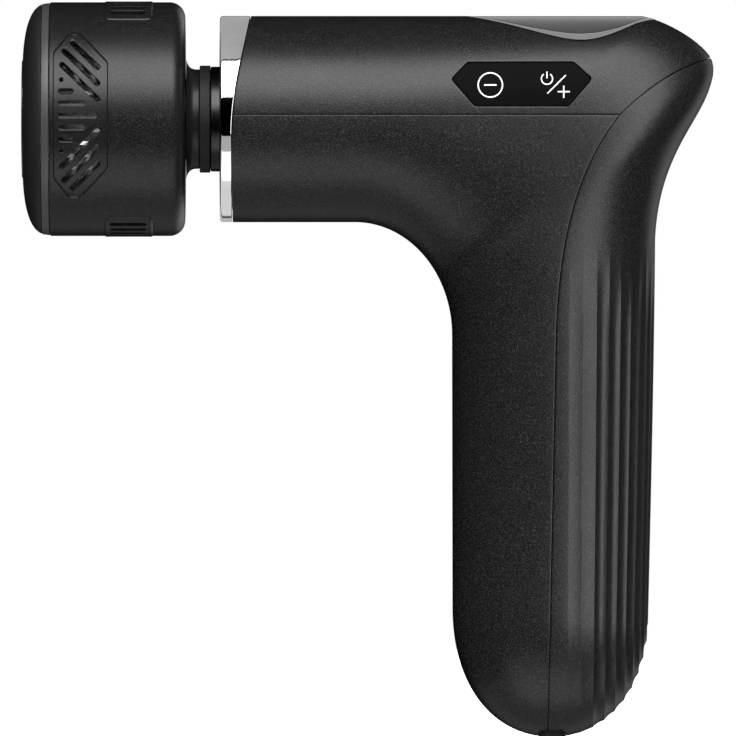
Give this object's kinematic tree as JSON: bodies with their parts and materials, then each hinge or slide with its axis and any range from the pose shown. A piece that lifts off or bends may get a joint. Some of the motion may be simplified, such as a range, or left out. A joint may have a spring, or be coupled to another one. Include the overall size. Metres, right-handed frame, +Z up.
{
  "type": "massage gun",
  "caption": "Hand-held percussion massage gun with an L-shaped body, fluted rear grip, key panel, top display and a vented drum-shaped cooling head.",
  "frame": {"origin": "middle of the hand grip, on the handle's long axis and in the plane of symmetry", "axes": "+Z up the handle to the barrel, -X forwards along the barrel to the massage head, Y across; the keys are on the -Y side"},
  "size_m": [0.1556, 0.0526, 0.1653],
  "materials": {
    "satin_black": "satin, fine grain",
    "matte_black": "matte",
    "gloss_black": "gloss",
    "chrome": "mirror",
    "smoked_glass": "gloss, smoked",
    "silver": "satin",
    "rubber": "matte",
    "board": "satin",
    "aluminium": "satin",
    "dark_anodised": "gloss, black anodised",
    "steel": "satin",
    "bronze": "satin",
    "copper": "satin",
    "cell_can": "shrink-wrapped",
    "ceramic": "matte",
    "white_plastic": "satin"
  },
  "bodies": {
    "housing": {"top_cover": "satin_black", "front_shell": "satin_black", "rear_grip": "satin_black", "collar_ring": "chrome", "nose_plate": "gloss_black", "dust_seal": "rubber", "display_bezel": "silver", "display_lens": "smoked_glass", "display_board": "board", "main_board": "board", "key_board": "board", "charge_board": "board", "switch_minus": "matte_black", "switch_power": "matte_black", "battery_cell_front": "cell_can", "battery_cell_rear": "cell_can", "battery_cap_upper": "white_plastic", "battery_cap_lower": "white_plastic", "usb_socket": "steel", "port_bezel": "matte_black", "drive_frame": "aluminium", "guide_bush": "bronze", "damper_ring": "rubber", "motor_base": "aluminium", "motor_screw_left": "steel", "motor_screw_right": "steel", "stator_core": "steel", "winding_upper": "copper", "winding_lower": "copper", "motor_bearing_upper": "steel", "motor_bearing_lower": "steel"},
    "key": {"key_plate": "gloss_black"},
    "rotor": {"rotor_can": "steel", "magnet_ring": "steel", "motor_shaft": "steel", "crank_wheel": "steel", "crank_pin": "steel"},
    "rod": {"connecting_rod": "aluminium", "big_end_bearing": "steel", "small_end_bush": "bronze"},
    "plunger": {"plunger": "dark_anodised", "wrist_pin_upper": "steel", "wrist_pin_lower": "steel", "socket_lip": "rubber"},
    "head": {"head_shell": "satin_black", "trim_ring": "silver", "face_cap": "matte_black", "contact_plate": "aluminium", "peltier_tile": "ceramic", "heat_sink": "aluminium", "fan_frame": "matte_black", "head_board": "board", "head_stem": "matte_black", "stem_oring": "rubber", "head_screw_1": "steel", "head_screw_2": "steel", "head_screw_3": "steel"},
    "fan": {"fan_rotor": "gloss_black"}
  },
  "joints": [
    {"name": "motor_spin", "type": "hinge", "parent": "housing", "child": "rotor", "pos_m": [0, 0, 0.06], "axis": [0, 0, 1], "continuous": true},
    {"name": "rod_swing", "type": "hinge", "parent": "rotor", "child": "rod", "pos_m": [-0.003, 0, 0.08], "axis": [0, 0, 1], "continuous": true},
    {"name": "plunger_stroke", "type": "slide", "parent": "housing", "child": "plunger", "axis": [1, 0, 0], "range_m": [0, 0.006]},
    {"name": "head_pull_off", "type": "slide", "parent": "plunger", "child": "head", "axis": [-1, 0, 0], "range_m": [0, 0.02]},
    {"name": "cooling_fan_spin", "type": "hinge", "parent": "head", "child": "fan", "pos_m": [-0.0962, 0, 0.08], "axis": [1, 0, 0], "continuous": true},
    {"name": "key_rock", "type": "hinge", "parent": "housing", "child": "key", "pos_m": [-0.007, -0.02086, 0.08759], "axis": [0, 0.342, 0.9397], "range_deg": [-1.2, 1.2], "stiffness_Nm_per_rad": 0.5}
  ],
  "couplings": [
    {"joint": "rod_swing", "follows": "motor_spin", "ratio": -1}
  ]
}
